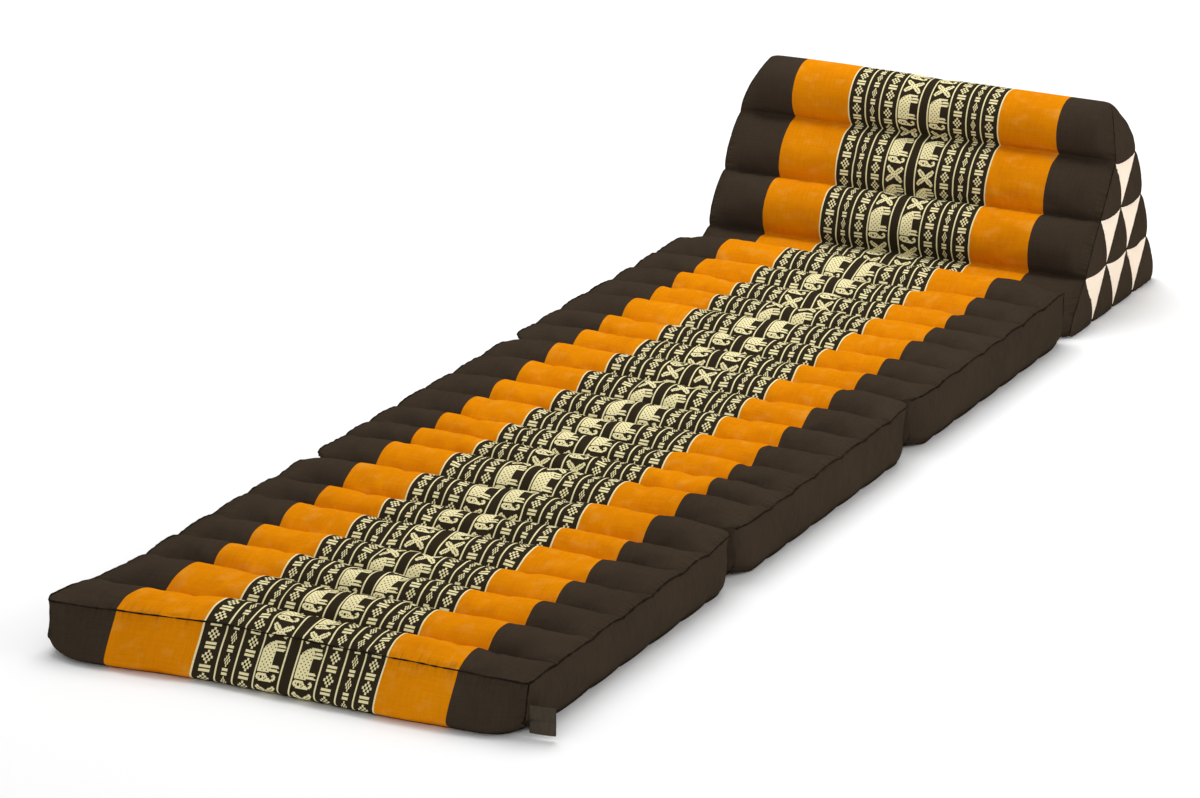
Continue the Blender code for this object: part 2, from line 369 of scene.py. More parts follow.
@dataclass(frozen=True)
class FiguredBand:
    """The band's layout across the cloth, in metres from the centre line, and its repeats along the cloth."""

    plain_half: float = 0.0064
    elephant_edge: float = 0.0362
    inner_edge: float = 0.0602
    middle_edge: float = 0.0805
    outer_edge: float = BAND_HALF
    line_half: float = 0.00090
    thread_along: float = 0.00135
    thread_across: float = 0.00127
    diamond_across: float = 0.00222
    small_across: float = 0.00130
    flower_start: float = 0.0155
    diamond_start: float = -0.0074
    flower_gap: int = 2
    elephant_gap: int = 3

    @property
    def elephant_repeat(self) -> float:
        """The length of one elephant and one flower along the cloth."""
        return self.thread_along * (len(ELEPHANT) + len(FLOWER) + self.flower_gap + self.elephant_gap)

    @property
    def elephant_middle(self) -> float:
        """The place along the cloth of an elephant's middle."""
        return self.flower_start - self.thread_along * (len(FLOWER) + self.flower_gap + len(ELEPHANT) / 2)

    @property
    def diamond_repeat(self) -> float:
        """Three diamonds go to each elephant and flower."""
        return self.elephant_repeat / 3

    def lines(self) -> tuple[float, ...]:
        """The middles of the cream lines."""
        return self.plain_half, self.elephant_edge, self.inner_edge, self.middle_edge, self.outer_edge

    def charted(
        self, sheet: NodeSheet, across: Socket, along: Socket, rows: Sequence[str], cell: float
    ) -> Socket:
        """Reads a chart at a place on the cloth.

        Each row is kept as three numbers of eight threads in a stop of a colour ramp, and the thread is
        read back from them by its power of two.

        Args:
            sheet: the material's nodes.
            across: the place across, in metres from the motif's middle.
            along: the row of the chart, as a number that starts at 0.
            rows: the chart.
            cell: the width of a thread across, in metres.

        Returns:
            1 on a cream thread, and otherwise 0.
        """
        count, wide = len(rows), len(rows[0])
        thread = sheet.math("FLOOR", sheet.math("MULTIPLY_ADD", across, 1 / cell, wide / 2))
        row = sheet.math("FLOOR", along)
        ends = ((thread, wide - 1), (row, count - 1))
        inside = [sheet.near(place, last / 2, last / 2 + 0.1) for place, last in ends]
        ramp_node = sheet.node("ValToRGB", Fac=sheet.math("MULTIPLY_ADD", row, 1 / count, 0.5 / count))
        ramp = ramp_node.color_ramp
        ramp.interpolation = "CONSTANT"
        for number, text in enumerate(rows):
            bits = text.replace("#", "1").replace(".", "0").ljust(GROUP * GROUPS, "0")
            levels = [int(bits[i : i + GROUP], 2) / 2**GROUP for i in range(0, len(bits), GROUP)]
            stop = ramp.elements[number] if number < 2 else ramp.elements.new(number / count)
            stop.position = number / count
            stop.color = (*levels, 1.0)
        split = sheet.node("SeparateColor", Color=ramp_node.outputs[0]).outputs
        group = sheet.math("FLOOR", sheet.math("DIVIDE", thread, float(GROUP)))
        chosen = [sheet.near(group, float(number), 0.1) for number in range(GROUPS)]
        value = sheet.total([sheet.math("MULTIPLY", *pair) for pair in zip(split, chosen)])
        place = sheet.math("ADD", sheet.math("MODULO", thread, float(GROUP)), 1.0)
        shifted = sheet.math("MULTIPLY", value, sheet.math("POWER", 2.0, place))
        bit = sheet.math("MODULO", sheet.math("FLOOR", sheet.math("ADD", shifted, 0.001)), 2.0)
        return sheet.math("MULTIPLY", sheet.math("GREATER_THAN", bit, 0.5), sheet.math("MULTIPLY", *inside))

    def cream(self, sheet: NodeSheet, u: Socket, v: Socket) -> Socket:
        """Where the cream threads lie.

        Args:
            sheet: the material's nodes.
            u: the place across the cloth, in metres from the centre line.
            v: the place along the cloth, in metres.

        Returns:
            1 on a cream thread, and otherwise 0.
        """
        side = sheet.math("ABSOLUTE", u)
        marks = [sheet.near(side, line, self.line_half) for line in self.lines()]
        starts = ((self.flower_start, self.elephant_repeat), (self.diamond_start, self.diamond_repeat))
        flower_along, diamond_along = (
            sheet.math("WRAP", sheet.math("SUBTRACT", start, v), repeat, 0.0) for start, repeat in starts
        )
        flower_row = sheet.math("DIVIDE", flower_along, self.thread_along)
        elephant_row = sheet.math("SUBTRACT", flower_row, float(len(FLOWER) + self.flower_gap))
        handed = sheet.math("MULTIPLY", sheet.math("SIGN", u), (self.plain_half + self.elephant_edge) / 2)
        across = sheet.math("SUBTRACT", u, handed)
        for rows, row in ((ELEPHANT, elephant_row), (FLOWER, flower_row)):
            marks.append(self.charted(sheet, across, row, rows, self.thread_across))
        diamond_row = sheet.math("MULTIPLY", diamond_along, len(DIAMOND) / self.diamond_repeat)
        inner, small, outer = (sum(pair) / 2 for pair in zip(self.lines()[1:], self.lines()[2:]))
        is_outer = sheet.math("GREATER_THAN", side, small)
        centre = sheet.math("MULTIPLY_ADD", is_outer, outer - inner, inner)
        for middle, cell in ((centre, self.diamond_across), (small, self.small_across)):
            across = sheet.math("SUBTRACT", side, middle)
            marks.append(self.charted(sheet, across, diamond_row, DIAMOND, cell))
        return sheet.math("MINIMUM", sheet.total(marks), 1.0)


@dataclass(frozen=True)
class StripedCotton:
    """The cover cloth: brown margins, orange stripes and the figured band, woven in one width."""

    brown: tuple[float, float, float] = BROWN_DYE
    orange: tuple[float, float, float] = (0.78, 0.268, 0.003)
    orange_deep: tuple[float, float, float] = (0.60, 0.180, 0.002)
    faded: tuple[float, float, float] = (0.76, 0.330, 0.045)
    ground: tuple[float, float, float] = (0.030, 0.022, 0.013)
    cream: tuple[float, float, float] = (0.88, 0.79, 0.44)
    thread: float = 0.00055

    def make(self) -> bpy.types.Material:
        """Makes the material.

        Returns:
            The material.
        """
        sheet = NodeSheet("striped_cotton")
        place = sheet.cloth_place()
        u, v = sheet.axes(place)
        side = sheet.math("ABSOLUTE", u)
        in_orange = sheet.math("LESS_THAN", side, ORANGE_HALF)
        in_band = sheet.math("LESS_THAN", side, BAND_HALF)
        streaks = sheet.noise(sheet.stretched(place, (420.0, 34.0, 1.0)), 1.0)
        slubs = sheet.noise(sheet.stretched(place, (28.0, 520.0, 1.0)), 1.0)
        clouds = sheet.noise(place, 9.0, 4.0)
        tone = sheet.math("MULTIPLY_ADD", sheet.blend(sheet.blend(streaks, slubs), clouds, 0.6), 2.4, -0.7)
        orange = sheet.mix(tone, self.orange_deep, self.orange)
        patches = sheet.noise(sheet.stretched(place, (48.0, 60.0, 1.0)), 1.0, 6.0)
        worn = sheet.clamped(sheet.math("MULTIPLY_ADD", patches, 3.6, -1.9))
        orange = sheet.mix(sheet.math("MULTIPLY", worn, 0.55), orange, self.faded)
        brown = sheet.mix(tone, [part * 0.8 for part in self.brown], [part * 1.25 for part in self.brown])
        cream_tone = sheet.mix(tone, [part * 0.86 for part in self.cream], self.cream)
        is_cream = FiguredBand().cream(sheet, u, v)
        figured = sheet.mix(is_cream, self.ground, cream_tone)
        colour = sheet.mix(in_orange, brown, orange)
        colour = sheet.mix(in_band, colour, figured)
        edge_line = sheet.near(side, BAND_HALF, FiguredBand().line_half)
        colour = sheet.mix(edge_line, colour, cream_tone)
        threads = weave_height(sheet, u, v, self.thread)
        raised = sheet.math("MULTIPLY", is_cream, in_band)
        height = sheet.math("ADD", threads, sheet.math("MULTIPLY", raised, 1.5))
        to_side = sheet.math("SUBTRACT", HALF_WIDTH, side)
        gathered, shade = puckers(sheet, to_side, v, crumple(sheet, place))
        to_foot = sheet.math("ABSOLUTE", sheet.math("ADD", v, FOOT_SEAM_CLOTH / 2))
        gathered, foot_shade = puckers(sheet, to_foot, u, gathered)
        foot_shade = sheet.math("MULTIPLY", sheet.math("POWER", foot_shade, 2.0), FOOT_PUCKER_SHADE)
        shade = sheet.math("MAXIMUM", sheet.math("MULTIPLY", shade, PUCKER_SHADE), foot_shade)
        # Painted shade: the folds of the gathers along the side and foot seams are darkened towards the
        # ground colour.
        colour = sheet.mix(shade, colour, self.ground)
        return sheet.finish(colour, sheet.bump(height, 0.00025, 0.5, gathered), 0.92)


def weave_height(sheet: NodeSheet, u: Socket, v: Socket, thread: float) -> Socket:
    """A plain weave's height: threads that pass over and under each other.

    Args:
        sheet: the material's nodes.
        u: the place across, in metres.
        v: the place along, in metres.
        thread: the distance between threads, in metres.

    Returns:
        The height, between 0 and 1.
    """
    waves = [sheet.math("SINE", sheet.math("MULTIPLY", place, math.pi / thread)) for place in (u, v)]
    return sheet.math("MULTIPLY_ADD", sheet.math("MULTIPLY", *waves), 0.5, 0.5)


def crumple(sheet: NodeSheet, place: Socket) -> Socket:
    """The fine creases of washed cotton, as a normal."""
    soft = sheet.noise(place, 34.0, 3.0)
    creases = sheet.noise(sheet.stretched(place, (95.0, 24.0, 1.0)), 1.0, 2.0)
    return sheet.bump(creases, 0.0022, 0.40, sheet.bump(soft, 0.0030, 0.45))


def puckers(sheet: NodeSheet, distance: Socket, run: Socket, below: Socket) -> tuple[Socket, Socket]:
    """The small gathers that a seam draws into the cover, with painted shade in their folds.

    Args:
        sheet: the material's nodes.
        distance: how far the seam is, in metres.
        run: the place along the seam, in metres.
        below: the normal of the coarser creases.

    Returns:
        The normal, and how much shade is painted into the gathers' folds, from 0 to 1.
    """
    fade = sheet.node("MapRange", Value=distance, From_Min=PUCKER_REACH, From_Max=0.0)
    fade.interpolation_type = "SMOOTHSTEP"
    pleats = sheet.node("TexNoise", Scale=1.0, Detail=2.0)
    pleats.noise_dimensions = "1D"
    sheet.feed(pleats.inputs["W"], sheet.math("MULTIPLY", run, 190.0))
    height = sheet.math("MULTIPLY", pleats.outputs["Fac"], fade.outputs[0])
    # Painted shade in the folds of the pleats.
    dark = sheet.clamped(sheet.math("MULTIPLY_ADD", pleats.outputs["Fac"], -5.0, 2.6))
    return sheet.bump(height, 0.0045, 0.8, below), sheet.math("MULTIPLY", dark, fade.outputs[0])


@dataclass(frozen=True)
class PlainCotton:
    """One plain dyed cotton, matt, with a fine weave."""

    name: str
    colour: tuple[float, float, float]
    spread: float = 0.22
    thread: float = 0.00055
    mapped: bool = True

    def make(self) -> bpy.types.Material:
        """Makes the material.

        Returns:
            The material.
        """
        sheet = NodeSheet(self.name)
        place = sheet.cloth_place() if self.mapped else sheet.object_place()
        u, v = sheet.axes(place)
        tone = sheet.noise(sheet.stretched(place, (320.0, 55.0, 1.0)), 1.0)
        clouds = sheet.noise(place, 11.0, 4.0)
        tone = sheet.math("MULTIPLY_ADD", sheet.blend(tone, clouds), 2.2, -0.6)
        ends = [[part * (1 + way * self.spread) for part in self.colour] for way in (-1, 1)]
        colour = sheet.mix(tone, *ends)
        normal = sheet.bump(weave_height(sheet, u, v, self.thread), 0.0002, 0.4, crumple(sheet, place))
        return sheet.finish(colour, normal)


@dataclass
class Place:
    """Where the maker's own place lies in the frame."""

    shift: Vector

    @staticmethod
    def from_frame() -> Place:
        """Reads it from the middle panel, whose ends lie on the folds."""
        low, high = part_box("mat_panel_middle")
        return Place(Vector(((low[0] + high[0]) / 2, low[1] - PANEL_LENGTH - TOUCH_GAP / 2, 0.0)))

    def settle(self, bm: bmesh.types.BMesh) -> None:
        """Moves a mesh from the maker's place into the frame."""
        bmesh.ops.translate(bm, vec=self.shift, verts=bm.verts)


@dataclass
class Covers:
    """The materials that the pieces share."""

    striped: bpy.types.Material
    brown: bpy.types.Material
    cream: bpy.types.Material
    seam: bpy.types.Material
    label: bpy.types.Material

    @staticmethod
    def make() -> Covers:
        """Makes each of them once."""
        return Covers(
            striped=StripedCotton().make(),
            brown=PlainCotton("brown_cotton", BROWN_DYE).make(),
            cream=PlainCotton("cream_cotton", (0.96, 0.81, 0.655), spread=0.04).make(),
            # Near black, darker than the cloth: the seams' thread and turned-in cloth, with the shade of the
            # seam grooves and of the line where the walls meet the floor painted in.
            seam=PlainCotton("seam_thread_and_shade", (0.017, 0.012, 0.008), spread=0.45, mapped=False).make(),
            label=PlainCotton("label_tape", (0.062, 0.050, 0.036), spread=0.3, thread=0.0012).make(),
        )

    def all(self) -> list[bpy.types.Material]:
        """The cover cloths, in the order of Region."""
        return [self.striped, self.brown, self.cream]


def piece_of(name: str, bm: bmesh.types.BMesh, materials: Iterable[bpy.types.Material]) -> bpy.types.Object:
    """Makes an object at the origin from a mesh in the frame.

    Args:
        name: the piece's name.
        bm: the mesh, which is freed.
        materials: its materials, in the order of the faces' numbers.

    Returns:
        The object.
    """
    for face in bm.faces:
        face.smooth = True
    mesh = bpy.data.meshes.new(name)
    bm.to_mesh(mesh)
    bm.free()
    for material in materials:
        mesh.materials.append(material)
    piece = bpy.data.objects.new(name, mesh)
    bpy.context.scene.collection.objects.link(piece)
    return piece


def rounded(piece: bpy.types.Object) -> None:
    """Adds one level of Subdivision Surface."""
    modifier = piece.modifiers.new("rounding", "SUBSURF")
    modifier.levels = modifier.render_levels = 1


def divided_cube(counts: Sequence[int]) -> bmesh.types.BMesh:
    """A unit cube from the origin up, cut into this many parts along each axis."""
    bm = bmesh.new()
    bmesh.ops.create_cube(bm, size=1.0)
    bmesh.ops.translate(bm, vec=(0.5, 0.5, 0.5), verts=bm.verts)
    for axis, count in enumerate(counts):
        if count > 1:
            edges = [edge for edge in bm.edges if abs(edge.verts[0].co[axis] - edge.verts[1].co[axis]) > 0.5]
            bmesh.ops.subdivide_edges(bm, edges=edges, cuts=count - 1, use_grid_fill=True)
    return bm


# How the cotton gives way in the simulation
CLOTH_SETTINGS = {
    "quality": 5, "mass": 0.2, "tension_stiffness": 20.0, "compression_stiffness": 8.0,
    "shear_stiffness": 4.0, "bending_stiffness": 0.6, "pin_stiffness": 1.0,
}


@dataclass
class Filling:
    """How a cover swells when it is filled, with its seams held."""

    pressure: float = 4.0
    surplus: float = 0.035
    cap: float = 0.0055
    frames: int = 20

    def swell(self, piece: bpy.types.Object, freedom: Sequence[float]) -> None:
        """Simulates the cloth, caps how far each point moves, and keeps the result in the mesh.

        Args:
            piece: the piece, a closed mesh.
            freedom: for each vertex, 0 where a seam or the floor holds it, up to 1 where it is free.
        """
        group = piece.vertex_groups.new(name="held")
        group.add([index for index, share in enumerate(freedom) if share == 0], 1.0, "REPLACE")
        modifier = piece.modifiers.new("filling", "CLOTH")
        settings = modifier.settings
        for name, value in CLOTH_SETTINGS.items():
            setattr(settings, name, value)
        settings.use_pressure = True
        settings.uniform_pressure_force = self.pressure
        settings.vertex_group_mass = "held"
        settings.shrink_min = -self.surplus
        settings.effector_weights.gravity = 0.0
        modifier.collision_settings.use_collision = False
        scene = bpy.context.scene
        for number in range(1, self.frames + 1):
            scene.frame_set(number)
        graph = bpy.context.evaluated_depsgraph_get()
        swollen = piece.evaluated_get(graph).to_mesh()
        count = len(piece.data.vertices)
        after = np.empty(count * 3, np.float32)
        swollen.vertices.foreach_get("co", after)
        before = np.empty(count * 3, np.float32)
        piece.data.vertices.foreach_get("co", before)
        move = (after - before).reshape(-1, 3)
        far = np.linalg.norm(move, axis=1, keepdims=True)
        move *= self.cap * np.tanh(far / self.cap) / np.maximum(far, 1e-9)
        move *= np.array(freedom, np.float32)[:, None]
        piece.modifiers.remove(modifier)
        piece.vertex_groups.remove(group)
        settled = before.reshape(-1, 3) + move
        settled[:, 2] = np.maximum(settled[:, 2], 0.0)
        piece.data.vertices.foreach_set("co", settled.ravel())
        piece.data.update()
        scene.frame_set(1)


def sharp_seams(bm: bmesh.types.BMesh, on_seam: Callable[[bmesh.types.BMVert], bool]) -> None:
    """Keeps the edges between points on a seam from being rounded away.

    Args:
        bm: the mesh.
        on_seam: whether a point lies on a seam.
    """
    layer = bm.edges.layers.float.new("crease_edge")
    marked = {vert for vert in bm.verts if on_seam(vert)}
    for edge in bm.edges:
        if edge.verts[0] in marked and edge.verts[1] in marked:
            edge[layer] = SEAM_CREASE


@dataclass
class SeamTubes:
    """The turned-in cloth and thread of a piece's seams, as fine tubes along their paths, with painted groove
    shade.
    """

    name: str
    slot: str
    radius: float
    sides: int = 6
    thickness: float = 0.85
    lumps: float = 0.9

    def build(self, paths: Sequence[Sequence[Vector]], place: Place, covers: Covers) -> bpy.types.Object:
        """Builds every seam of one piece.

        Args:
            paths: the seams, in the maker's place.
            place: where the maker's place lies in the frame.
            covers: the cloths.

        Returns:
            The piece.
        """
        bm = bmesh.new()
        for number, path in enumerate(paths):
            self.tube(bm, path, number)
        bmesh.ops.recalc_face_normals(bm, faces=bm.faces[:])
        for vert in bm.verts:
            vert.co.z = max(vert.co.z, 0.0)
        place.settle(bm)
        piece = piece_of(self.name, bm, [covers.seam])
        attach(piece, "root")
        return piece

    def tube(self, bm: bmesh.types.BMesh, path: Sequence[Vector], seed: int) -> None:
        """Extrudes a ring along a path, a little thicker and thinner as it goes, and closes both ends."""
        ring = bmesh.ops.create_circle(bm, cap_ends=True, radius=self.radius, segments=self.sides)["verts"]
        way = (path[1] - path[0]).normalized()
        turn = Vector((0, 0, 1)).rotation_difference(way)
        bmesh.ops.rotate(bm, verts=ring, cent=(0, 0, 0), matrix=turn.to_matrix())
        bmesh.ops.translate(bm, verts=ring, vec=path[0])
        face = next(face for face in ring[0].link_faces)
        size = 1.0
        for number in range(1, len(path)):
            after = path[min(number + 1, len(path) - 1)] - path[number - 1]
            made = bmesh.ops.extrude_face_region(bm, geom=[face], use_keep_orig=number == 1)["geom"]
            moved = [item for item in made if isinstance(item, bmesh.types.BMVert)]
            face = next(item for item in made if isinstance(item, bmesh.types.BMFace))
            heading = after.normalized() if after.length > 1e-9 else way
            bend = way.rotation_difference(heading).to_matrix()
            bmesh.ops.rotate(bm, verts=moved, cent=path[number - 1], matrix=bend)
            wanted = self.thickness + self.lumps * unevenness(number * 0.45, seed, 1.0, 8.0)
            centre = sum((vert.co for vert in moved), Vector()) / len(moved)
            for vert in moved:
                vert.co = path[number] + (vert.co - centre) * (wanted / size)
            size, way = wanted, heading


@dataclass
class SideLabel:
    """The small bare label that stands out from the corner seam at the foot."""

    fold: float = 0.0012
    cuts: int = 14

    def build(self, covers: Covers) -> bpy.types.Object:
        """Builds the label in the space of its CAD node.

        Args:
            covers: the cloths.

        Returns:
            The piece.
        """
        low, high = (Vector(corner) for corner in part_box("side_label"))
        size = high - low
        bm = bmesh.new()
        bmesh.ops.create_grid(bm, x_segments=self.cuts, y_segments=self.cuts, size=0.5)
        weave = bm.loops.layers.uv.new(WEAVE_MAP)
        for face in bm.faces:
            for loop in face.loops:
                loop[weave].uv = (loop.vert.co.x * size.x, loop.vert.co.y * size.z)
        curl = size.y - self.fold
        for vert in bm.verts:
            across, up = vert.co.x + 0.5, vert.co.y + 0.5
            wave = 0.12 * math.sin(2.4 * up + 0.4) * across
            vert.co = Vector((
                low.x + size.x * across,
                low.y + self.fold / 2 + curl * min(across * across * 0.85 + wave, 1.0),
                low.z + size.z * up,
            ))
        bmesh.ops.solidify(bm, geom=bm.faces[:], thickness=0.8 * self.fold)
        bmesh.ops.recalc_face_normals(bm, faces=bm.faces[:])
        piece = piece_of("side_label_tape", bm, [covers.label])
        rounded(piece)
        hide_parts("side_label")
        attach(piece, "root")
        return piece


@dataclass
class HingeStrip:
    """The strip of cloth that joins the mat to the wedge, on the floor."""

    parts: tuple[int, int, int] = (61, 6, 1)
    drawn: float = 0.0010

    def build(self, covers: Covers) -> bpy.types.Object:
        """Builds the strip in the space of its CAD node.

        Args:
            covers: the cloths.

        Returns:
            The piece.
        """
        low, high = (Vector(corner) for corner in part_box("hinge_strip"))
        size = high - low
        bm = divided_cube(self.parts)
        weave = bm.loops.layers.uv.new(WEAVE_MAP)
        for face in bm.faces:
            for loop in face.loops:
                loop[weave].uv = (loop.vert.co.x * size.x, loop.vert.co.y * size.y)
        for vert in bm.verts:
            share = vert.co.copy()
            drawn = self.drawn * unevenness(share.x, 0.0, 0.03, 9.0) * (0.5 - abs(share.y - 0.5))
            vert.co = low + Vector((size.x * share.x, size.y * share.y + drawn, size.z * share.z))
        bmesh.ops.recalc_face_normals(bm, faces=bm.faces[:])
        piece = piece_of("hinge_strip_cloth", bm, [covers.brown])
        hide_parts("hinge_strip")
        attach(piece, "root")
        return piece


@dataclass(frozen=True)
class Channel:
    """One sewn channel.

    It has its share of the panel's length, its crown above the side seam, and the share of it at which
    the middle of a woven elephant lies. Without the last, its cloth runs on from the start.
    """

    share: float
    crown: float
    elephant: float | None = None


@dataclass
class MatPanel:
    """One boxed, filled panel of the mat, with its cross channels."""

    name: str
    index: int
    channels: tuple[Channel, ...]
    cloth_start: float
    columns: int = 84
    rows_each: int = 14
    levels: int = 9
    valley: float = 0.0085
    fold_valley: float = 0.012
    side_fade: float = 0.052
    side_bulge: float = 0.004
    end_bulge: float = 0.024
    end_turn: float = 0.10
    corner_lift: float = 0.007
    side_tuck: float = 0.008
    end_tuck: float = 0.013
    tuck_level: float = 0.18
    fold_corner: float = 0.044
    end_corner: float = 0.017
    corner_rise: float = 0.011
    margin: float = 0.060
    stray_across: float = 0.020
    stray_along: float = 0.025
    bunching: float = 0.62
    crowding: float = 1.18
    seam_dip: float = 0.0030
    seam_wander: float = 0.0018
    crown_wander: float = 0.0014
    margin_wander: float = 0.016
    stitch_wander: float = 0.0022
    stitch_press: float = 0.0035
    wall_ripple: float = 0.0016
    wall_crease: float = 0.0032
    foot_middle: float = 0.008
    corner_reach: float = 0.036
    seam_radius: float = 0.00105
    lines: list[float] = field(default_factory=list)
    cloth: list[tuple[float, list[float]]] = field(default_factory=list)
    face_cloth: list[float] = field(default_factory=list)

    def __post_init__(self) -> None:
        """Works out the stitch lines, where each channel's cloth starts and its length up to each place."""
        self.lines = [self.start]
        for channel in self.channels:
            self.lines.append(self.lines[-1] + channel.share * PANEL_LENGTH)
        band = FiguredBand()
        at = self.cloth_start
        for channel, low, high in zip(self.channels, self.lines, self.lines[1:]):
            places = [low + share * (high - low) for share in EVEN_SHARES]
            running = running_lengths([Vector((0, y, self.top(0.0, y))) for y in places])
            if channel.elephant is not None:
                wanted = band.elephant_middle - channel.elephant * running[-1]
                at = wanted + band.elephant_repeat * math.ceil((at - wanted) / band.elephant_repeat)
            self.cloth.append((at, running))
            at += running[-1]
        face = [self.place(0.0, self.start, 1 - step / CLOTH_STEPS) for step in range(CLOTH_STEPS + 1)]
        self.face_cloth = running_lengths(face)

    @property
    def start(self) -> float:
        """Where the panel starts along Y."""
        return self.index * PANEL_LENGTH

    @property
    def end(self) -> float:
        """Where the panel ends along Y."""
        return self.start + PANEL_LENGTH

    @property
    def first(self) -> bool:
        """Whether this is the panel at the foot."""
        return self.index == 0

    @property
    def last(self) -> bool:
        """Whether this is the panel beside the wedge."""
        return self.index == 2

    @property
    def cloth_end(self) -> float:
        """Where the next panel's cloth starts."""
        at, running = self.cloth[-1]
        return at + running[-1]

    def channel(self, y: float) -> tuple[int, float]:
        """The channel at this place along: its number, and the share of it that lies behind."""
        number = sum(y > line + NEAR for line in self.lines[1:-1])
        low, high = self.lines[number], self.lines[number + 1]
        return number, min(max((y - low) / (high - low), 0.0), 1.0)

    def depth(self, line: int) -> float:
        """How far the cloth sinks below the side seam at a stitch line."""
        if line == 0:
            return 0.0 if self.first else self.fold_valley
        if line == len(self.lines) - 1:
            return 0.002 if self.last else self.fold_valley
        return self.valley

    def seam(self, y: float) -> float:
        """The height of the side seam, which dips a little at each stitch line."""
        _, share = self.channel(y)
        plain = SEAM_HEIGHT_FOOT + (SEAM_HEIGHT_HEAD - SEAM_HEIGHT_FOOT) * y / MAT_LENGTH
        dip = self.seam_dip * (1 - dome(share))
        return plain - dip + self.seam_wander * unevenness(y, self.index, 0.05, 2.0)

    def rise(self, number: int, share: float) -> float:
        """The channel's section, which leaves the seams of the foot and the head end at a slant."""
        at_foot = self.first and number == 0 and share < 0.5
        at_head = self.last and number == len(self.channels) - 1 and share > 0.5
        return 1 - abs(2 * share - 1) ** 2.2 if at_foot or at_head else dome(share)

    def top(self, x: float, y: float) -> float:
        """The height of the top of the cushion."""
        number, share = self.channel(y)
        crown = self.channels[number].crown
        crown += self.crown_wander * unevenness(x, number + 9 * self.index, 0.11, 1.0)
        sunk = self.depth(number) * (1 - share) + self.depth(number + 1) * share
        side = HALF_WIDTH - abs(x)
        fade = 1 - (1 - min(side / self.side_fade, 1.0)) ** 2.2
        hand = 4.0 if x > 0 else 0.0
        reach = self.margin + self.margin_wander * unevenness(y, number + 9 * self.index + hand, 0.05, 14.0)
        relief = smooth(side / reach) ** 0.72
        rise = self.rise(number, share)
        near_end = min(y, MAT_LENGTH - y)
        filled = 0.72 * smooth(near_end / 0.05)
        swell = crown * (rise * relief + filled * (1 - relief))
        return self.seam(y) + fade * swell - smooth(side / 0.045) * sunk * (1 - rise)

    def place(self, x: float, y: float, level: float) -> Vector:
        """Moves a point of the plain box, whose level is 0 at the floor and 1 at the top, to the cushion."""
        side = HALF_WIDTH - abs(x)
        hand = 1 if x > 0 else -1
        low, high = y - self.start, self.end - y
        z = self.top(x, y) * level
        if level < NEAR:
            z = self.under(x, y)
        belly = math.sin(math.pi * level)
        under = max(1 - level / self.tuck_level, 0.0) ** 2
        near_end = min(low, high)
        wander = self.stitch_wander * unevenness(x, y, 0.07, 3.0 + self.index)
        _, share = self.channel(y)
        if level > 1 - NEAR:
            y += wander * smooth(side / 0.04) * smooth(low / 0.03) * smooth(high / 0.03)
        if side < NEAR:
            swell = 0.85 + 0.10 * dome(share) + 0.30 * unevenness(y, 4.0 + hand, 0.10, 5.0)
            fade = 0.35 + 0.65 * smooth(near_end / 0.06)
            x += hand * (self.side_bulge * swell * belly * fade - self.side_tuck * under)
            x += hand * self.wall_ripple * unevenness(y, self.index + 2.0 * hand, 0.040, 13.0) * level
            x += hand * self.wall_crease * unevenness(y, level * 0.03 + hand, 0.026, 15.0) * belly
        for distance, free, way in ((low, self.first, -1), (high, self.last, 1)):
            if distance > NEAR:
                continue
            fade = 0.45 + 0.55 * smooth(side / 0.05)
            if self.first:
                turn = max(1 - level / self.end_turn, 0.0) ** 2
                middle = self.foot_middle * smooth(side / 0.16)
                y -= (self.end_bulge + middle) * fade * (1 - level**1.6) ** 1.3 - self.end_tuck * turn
            else:
                bulge = 0.012 * belly**0.8 * fade if free else -TOUCH_GAP
                y += way * (bulge - (self.end_tuck if free else self.side_tuck) * under)
            if free:
                y += self.wall_ripple * unevenness(x, self.index, 0.045, 11.0) * level
                z += 0.0012 * unevenness(x, self.index, 0.038, 12.0) * level
        free = self.first if low < high else self.last
        radius = self.end_corner * (1 - 0.45 * level**4) if free else self.fold_corner * (1 - 0.4 * level**5)
        if radius > 0 and side < radius and near_end < radius:
            across, along = 1 - side / radius, 1 - near_end / radius
            x -= hand * radius * across * (1 - math.sqrt(1 - along * along / 2))
            way = -1 if low < high else 1
            y -= way * radius * along * (1 - math.sqrt(1 - across * across / 2))
        if side < 0.03 and level < 0.5:
            lift = self.corner_lift * (1 - smooth(near_end / 0.045)) if not free else 0.0
            lift += 0.0022 * (1 - dome(share)) * (near_end > 0.03)
            z += lift * (1 - smooth(side / 0.03)) * (1 - smooth(level / 0.5))
        if free and level < 0.6:
            corner = max(1 - math.hypot(side, near_end) / self.corner_reach, 0.0) ** 1.6
            z += self.corner_rise * corner * (1 - smooth(level / 0.6))
        if self.first:
            reach = 1 - smooth(low / 0.10)
            x -= self.stray_across * reach * smooth((-x - 0.07) / 0.12)
            y -= self.stray_along * reach * smooth((-x - 0.07) / 0.21)
        return Vector((x, y, z))

    def under(self, x: float, y: float) -> float:
        """The underside lies on the floor but for its stitch lines."""
        number, share = self.channel(y)
        away = min(share, 1 - share) * (self.lines[number + 1] - self.lines[number])
        line = number if share < 0.5 else number + 1
        if not 0 < line < len(self.lines) - 1:
            return 0.0
        pressed = smooth((HALF_WIDTH - abs(x) - 0.012) / 0.02)
        return self.stitch_press * (1 - smooth(away / 0.008)) * pressed

